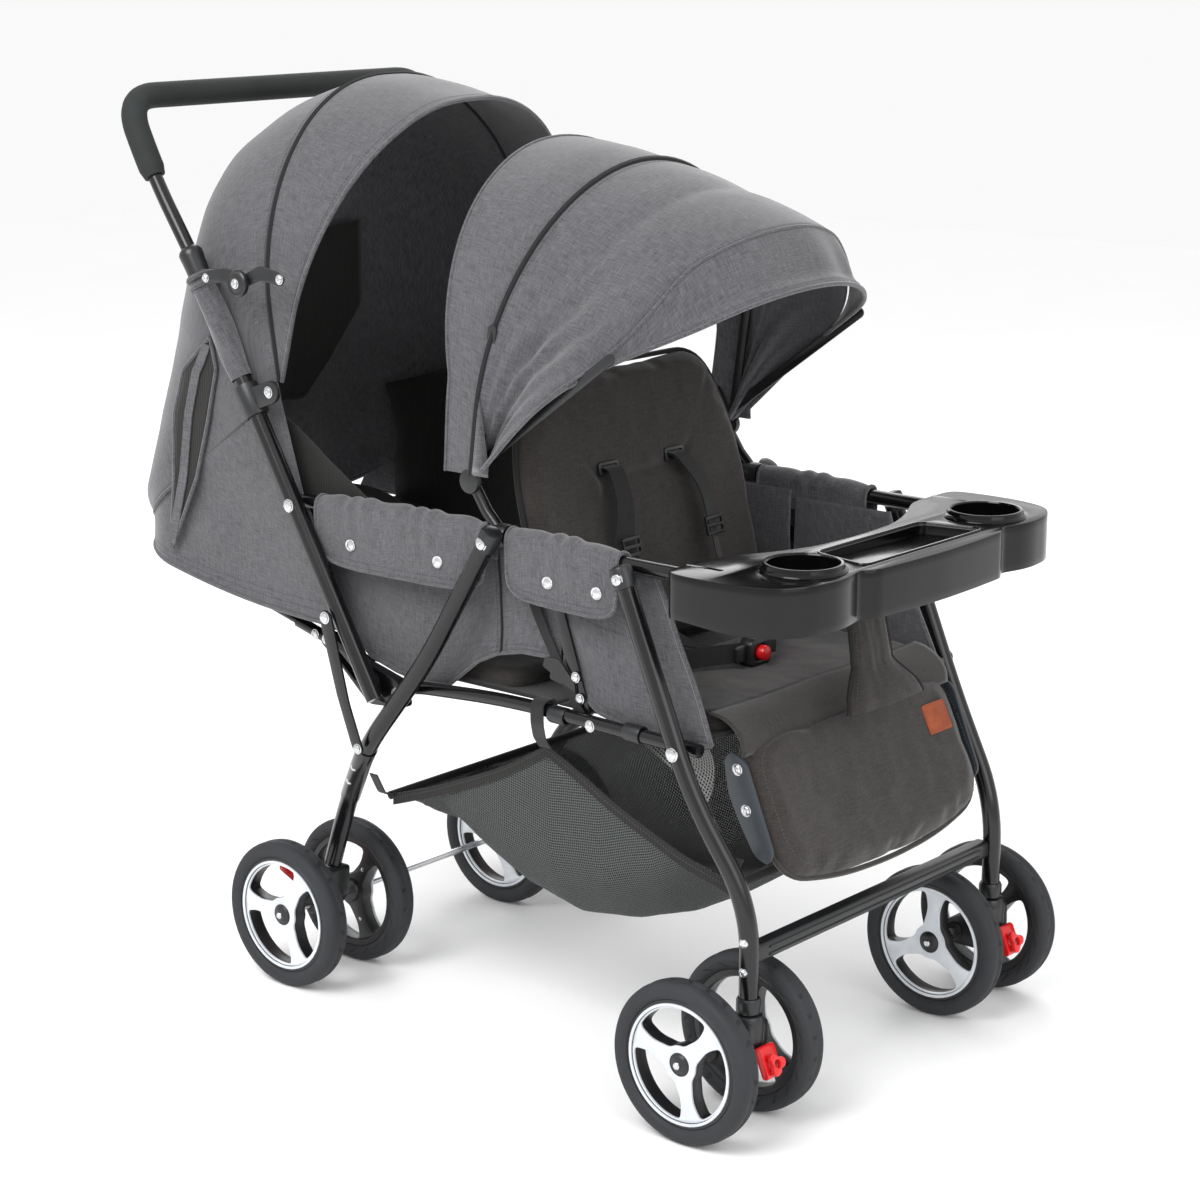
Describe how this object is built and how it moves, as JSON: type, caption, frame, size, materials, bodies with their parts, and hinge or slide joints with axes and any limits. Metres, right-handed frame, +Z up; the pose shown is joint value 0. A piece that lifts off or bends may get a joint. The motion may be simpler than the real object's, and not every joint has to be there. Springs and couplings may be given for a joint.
{
  "type": "tandem twin stroller",
  "caption": "Tandem twin stroller with two seats in line, folding canopies, a cup-holder tray, a mesh basket, swivel front wheels and a folding tube frame.",
  "frame": {"origin": "on the ground, under the middle of the whole stroller's box", "axes": "+Z up, travel along -Y, +X to the stroller's own left"},
  "size_m": [0.606, 1.068, 1.05],
  "materials": {
    "black_paint": "glossy black powder coat on tube",
    "black_plastic": "satin moulded black",
    "tray_plastic": "high gloss black",
    "foam": "matte closed-cell foam",
    "steel": "bright zinc",
    "tyre": "matte dark grey foam rubber",
    "silver_plastic": "silver painted wheel face",
    "red_plastic": "red levers and button",
    "grey_cloth": "heathered grey woven cloth",
    "dark_cloth": "charcoal heathered woven cloth",
    "mesh_cloth": "black polyester mesh"
  },
  "bodies": {
    "chassis": {"rail_right": "black_paint", "rail_left": "black_paint", "front_seat": "dark_cloth", "rear_seat": "grey_cloth", "basket": "mesh_cloth", "buckle": "black_plastic"},
    "buckle_button": {"buckle_button": "red_plastic"},
    "handle": {"handle_lower_right": "black_paint", "handle_lower_left": "black_paint", "handle_upper": "black_paint", "handle_grip": "foam", "rear_hood": "grey_cloth", "rear_canopy": "grey_cloth"},
    "rear_canopy_bow": {"rear_canopy_bow": "grey_cloth"},
    "rear_backrest": {"rear_backrest": "grey_cloth"},
    "front_backrest": {"front_backrest": "dark_cloth"},
    "leg_rest": {"leg_rest": "dark_cloth"},
    "front_legs": {"front_leg_right": "black_paint", "front_leg_left": "black_paint", "front_brace": "black_paint"},
    "armrests": {"armrest_tube_right": "black_paint", "armrest_tube_left": "black_paint", "front_canopy": "grey_cloth"},
    "tray": {"tray": "tray_plastic"},
    "front_canopy_bow": {"front_canopy_bow": "grey_cloth"},
    "rear_legs": {"rear_leg_right": "black_paint", "rear_leg_left": "black_paint", "rear_hub_right": "black_plastic", "rear_hub_left": "black_plastic", "axle_rear": "steel"},
    "crank_link_right": {"crank_link_right": "black_paint"},
    "stretcher_rear_right": {"stretcher_rear_right": "black_plastic"},
    "stretcher_front_right": {"stretcher_front_right": "black_plastic"},
    "caster_right": {"caster_fork_right": "black_plastic", "axle_front_right": "steel"},
    "caster_lock_right": {"caster_lock_right": "red_plastic"},
    "brake_pedal_right": {"brake_pedal_right": "red_plastic"},
    "wheel_front_right_outer": {"tyre_front_right_outer": "tyre", "rim_front_right_outer": "silver_plastic"},
    "wheel_front_right_inner": {"tyre_front_right_inner": "tyre", "rim_front_right_inner": "silver_plastic"},
    "wheel_rear_right_outer": {"tyre_rear_right_outer": "tyre", "rim_rear_right_outer": "silver_plastic"},
    "wheel_rear_right_inner": {"tyre_rear_right_inner": "tyre", "rim_rear_right_inner": "silver_plastic"},
    "crank_link_left": {"crank_link_left": "black_paint"},
    "stretcher_rear_left": {"stretcher_rear_left": "black_plastic"},
    "stretcher_front_left": {"stretcher_front_left": "black_plastic"},
    "caster_left": {"caster_fork_left": "black_plastic", "axle_front_left": "steel"},
    "caster_lock_left": {"caster_lock_left": "red_plastic"},
    "brake_pedal_left": {"brake_pedal_left": "red_plastic"},
    "wheel_front_left_outer": {"tyre_front_left_outer": "tyre", "rim_front_left_outer": "silver_plastic"},
    "wheel_front_left_inner": {"tyre_front_left_inner": "tyre", "rim_front_left_inner": "silver_plastic"},
    "wheel_rear_left_outer": {"tyre_rear_left_outer": "tyre", "rim_rear_left_outer": "silver_plastic"},
    "wheel_rear_left_inner": {"tyre_rear_left_inner": "tyre", "rim_rear_left_inner": "silver_plastic"}
  },
  "joints": [
    {"name": "handle_fold", "type": "hinge", "parent": "chassis", "child": "handle", "pos_m": [0, 0.062, 0.382], "axis": [1, 0, 0], "range_deg": [0, 48], "deforming": ["front_seat", "rear_seat", "basket", "rear_hood"]},
    {"name": "front_leg_fold", "type": "hinge", "parent": "chassis", "child": "front_legs", "pos_m": [0, -0.375, 0.402], "axis": [1, 0, 0], "range_deg": [0, 67.2]},
    {"name": "armrest_fold", "type": "hinge", "parent": "front_legs", "child": "armrests", "pos_m": [0, -0.302, 0.575], "axis": [1, 0, 0], "range_deg": [-59.8, 0]},
    {"name": "rear_leg_fold", "type": "hinge", "parent": "armrests", "child": "rear_legs", "pos_m": [0, -0.113, 0.585], "axis": [1, 0, 0], "range_deg": [0, 10.6]},
    {"name": "crank_link_fold_right", "type": "hinge", "parent": "handle", "child": "crank_link_right", "pos_m": [-0.2585, 0.123, 0.466], "axis": [1, 0, 0], "range_deg": [-62.4, 0]},
    {"name": "crank_link_fold_left", "type": "hinge", "parent": "handle", "child": "crank_link_left", "pos_m": [0.2585, 0.123, 0.466], "axis": [1, 0, 0], "range_deg": [-62.4, 0]},
    {"name": "front_canopy_fold", "type": "hinge", "parent": "armrests", "child": "front_canopy_bow", "pos_m": [0, -0.074, 0.64], "axis": [-1, 0, 0], "range_deg": [0, 62], "deforming": ["front_canopy"]},
    {"name": "rear_canopy_fold", "type": "hinge", "parent": "handle", "child": "rear_canopy_bow", "pos_m": [0, 0.224, 0.708], "axis": [-1, 0, 0], "range_deg": [0, 50], "deforming": ["rear_canopy"]},
    {"name": "stretcher_rear_fold_right", "type": "hinge", "parent": "handle", "child": "stretcher_rear_right", "pos_m": [-0.2595, 0.302, 0.835], "axis": [-1, 0, 0], "range_deg": [0, 88]},
    {"name": "stretcher_front_fold_right", "type": "hinge", "parent": "stretcher_rear_right", "child": "stretcher_front_right", "pos_m": [-0.264, 0.239, 0.835], "axis": [1, 0, 0], "range_deg": [0, 181]},
    {"name": "stretcher_rear_fold_left", "type": "hinge", "parent": "handle", "child": "stretcher_rear_left", "pos_m": [0.2595, 0.302, 0.835], "axis": [-1, 0, 0], "range_deg": [0, 88]},
    {"name": "stretcher_front_fold_left", "type": "hinge", "parent": "stretcher_rear_left", "child": "stretcher_front_left", "pos_m": [0.264, 0.239, 0.835], "axis": [1, 0, 0], "range_deg": [0, 181]},
    {"name": "front_recline", "type": "hinge", "parent": "chassis", "child": "front_backrest", "pos_m": [0, -0.16, 0.43], "axis": [1, 0, 0], "range_deg": [-28, 0]},
    {"name": "rear_recline", "type": "hinge", "parent": "handle", "child": "rear_backrest", "pos_m": [0, 0.139, 0.414], "axis": [1, 0, 0], "range_deg": [0, 46]},
    {"name": "leg_rest_tilt", "type": "hinge", "parent": "chassis", "child": "leg_rest", "pos_m": [0, -0.396, 0.396], "axis": [-1, 0, 0], "range_deg": [0, 50]},
    {"name": "tray_release", "type": "slide", "parent": "armrests", "child": "tray", "axis": [0, -1, 0], "range_m": [0, 0.06]},
    {"name": "buckle_press", "type": "slide", "parent": "chassis", "child": "buckle_button", "axis": [0, 1, 0], "range_m": [0, 0.0015], "stiffness_N_per_m": 400},
    {"name": "caster_swivel_right", "type": "hinge", "parent": "front_legs", "child": "caster_right", "pos_m": [-0.23, -0.459, 0.12], "axis": [0, 0, 1], "continuous": true},
    {"name": "caster_lock_right", "type": "hinge", "parent": "caster_right", "child": "caster_lock_right", "pos_m": [-0.23, -0.4805, 0.10014], "axis": [-1, 0, 0], "range_deg": [0, 22]},
    {"name": "brake_right", "type": "hinge", "parent": "rear_legs", "child": "brake_pedal_right", "pos_m": [-0.188, 0.235, 0.11414], "axis": [-1, 0, 0], "range_deg": [0, 16]},
    {"name": "wheel_spin_front_right_outer", "type": "hinge", "parent": "caster_right", "child": "wheel_front_right_outer", "pos_m": [-0.286, -0.421, 0.08814], "axis": [1, 0, 0], "continuous": true},
    {"name": "wheel_spin_front_right_inner", "type": "hinge", "parent": "caster_right", "child": "wheel_front_right_inner", "pos_m": [-0.174, -0.421, 0.08814], "axis": [1, 0, 0], "continuous": true},
    {"name": "wheel_spin_rear_right_outer", "type": "hinge", "parent": "rear_legs", "child": "wheel_rear_right_outer", "pos_m": [-0.244, 0.213, 0.08814], "axis": [1, 0, 0], "continuous": true},
    {"name": "wheel_spin_rear_right_inner", "type": "hinge", "parent": "rear_legs", "child": "wheel_rear_right_inner", "pos_m": [-0.132, 0.213, 0.08814], "axis": [1, 0, 0], "continuous": true},
    {"name": "caster_swivel_left", "type": "hinge", "parent": "front_legs", "child": "caster_left", "pos_m": [0.23, -0.459, 0.12], "axis": [0, 0, 1], "continuous": true},
    {"name": "caster_lock_left", "type": "hinge", "parent": "caster_left", "child": "caster_lock_left", "pos_m": [0.23, -0.4805, 0.10014], "axis": [-1, 0, 0], "range_deg": [0, 22]},
    {"name": "brake_left", "type": "hinge", "parent": "rear_legs", "child": "brake_pedal_left", "pos_m": [0.188, 0.235, 0.11414], "axis": [-1, 0, 0], "range_deg": [0, 16]},
    {"name": "wheel_spin_front_left_outer", "type": "hinge", "parent": "caster_left", "child": "wheel_front_left_outer", "pos_m": [0.286, -0.421, 0.08814], "axis": [1, 0, 0], "continuous": true},
    {"name": "wheel_spin_front_left_inner", "type": "hinge", "parent": "caster_left", "child": "wheel_front_left_inner", "pos_m": [0.174, -0.421, 0.08814], "axis": [1, 0, 0], "continuous": true},
    {"name": "wheel_spin_rear_left_outer", "type": "hinge", "parent": "rear_legs", "child": "wheel_rear_left_outer", "pos_m": [0.244, 0.213, 0.08814], "axis": [1, 0, 0], "continuous": true},
    {"name": "wheel_spin_rear_left_inner", "type": "hinge", "parent": "rear_legs", "child": "wheel_rear_left_inner", "pos_m": [0.132, 0.213, 0.08814], "axis": [1, 0, 0], "continuous": true}
  ],
  "couplings": [
    {"joint": "front_leg_fold", "follows": "handle_fold", "ratio": 1.38},
    {"joint": "armrest_fold", "follows": "handle_fold", "ratio": -1.225},
    {"joint": "rear_leg_fold", "follows": "handle_fold", "ratio": 0.2},
    {"joint": "crank_link_fold_right", "follows": "handle_fold", "ratio": -1.28},
    {"joint": "crank_link_fold_left", "follows": "handle_fold", "ratio": -1.28},
    {"joint": "stretcher_rear_fold_right", "follows": "rear_canopy_fold", "ratio": 1.74},
    {"joint": "stretcher_front_fold_right", "follows": "rear_canopy_fold", "ratio": 3.6},
    {"joint": "stretcher_rear_fold_left", "follows": "rear_canopy_fold", "ratio": 1.74},
    {"joint": "stretcher_front_fold_left", "follows": "rear_canopy_fold", "ratio": 3.6}
  ]
}
